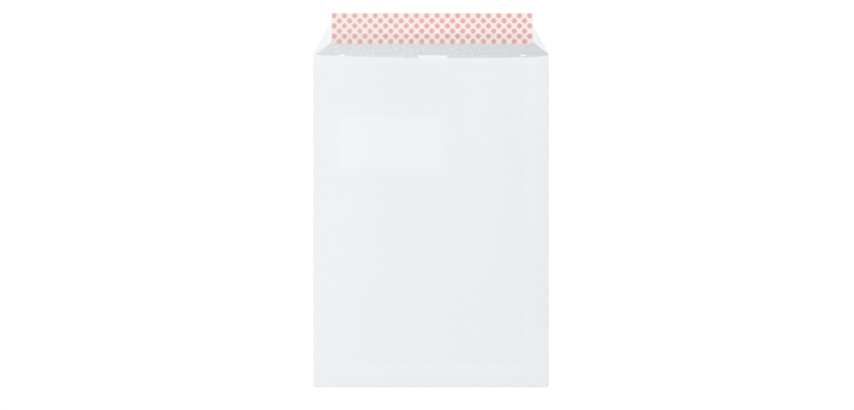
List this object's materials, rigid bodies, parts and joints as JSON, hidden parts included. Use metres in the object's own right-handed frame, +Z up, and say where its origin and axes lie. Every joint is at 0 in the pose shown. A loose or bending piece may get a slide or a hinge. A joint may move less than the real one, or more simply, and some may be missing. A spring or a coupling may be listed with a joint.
{
  "type": "vellum envelope",
  "caption": "White paper pocket envelope lying with its flap open, a peel-off liner over the flap's adhesive, a tinted inside and a film window in the address side.",
  "frame": {"origin": "under the middle of the outline, flap included, on the surface that the envelope lies on", "axes": "+Y along the pocket from the bottom fold towards the open flap, +Z up out of the back panel, +X across the pocket"},
  "size_m": [0.229, 0.3642, 0.0077],
  "materials": {
    "vellum_paper": "uncoated vellum finish, white, with a grey tint printed on the inside",
    "clear_film": "clear smooth polystyrene film",
    "tacky_adhesive": "clear pressure-sensitive adhesive",
    "printed_liner": "silicone-coated paper with a salmon dot print"
  },
  "bodies": {
    "root": {"envelope_sheet": "vellum_paper", "window_film": "clear_film", "flap_adhesive": "tacky_adhesive", "release_liner": "printed_liner"}
  },
  "joints": []
}
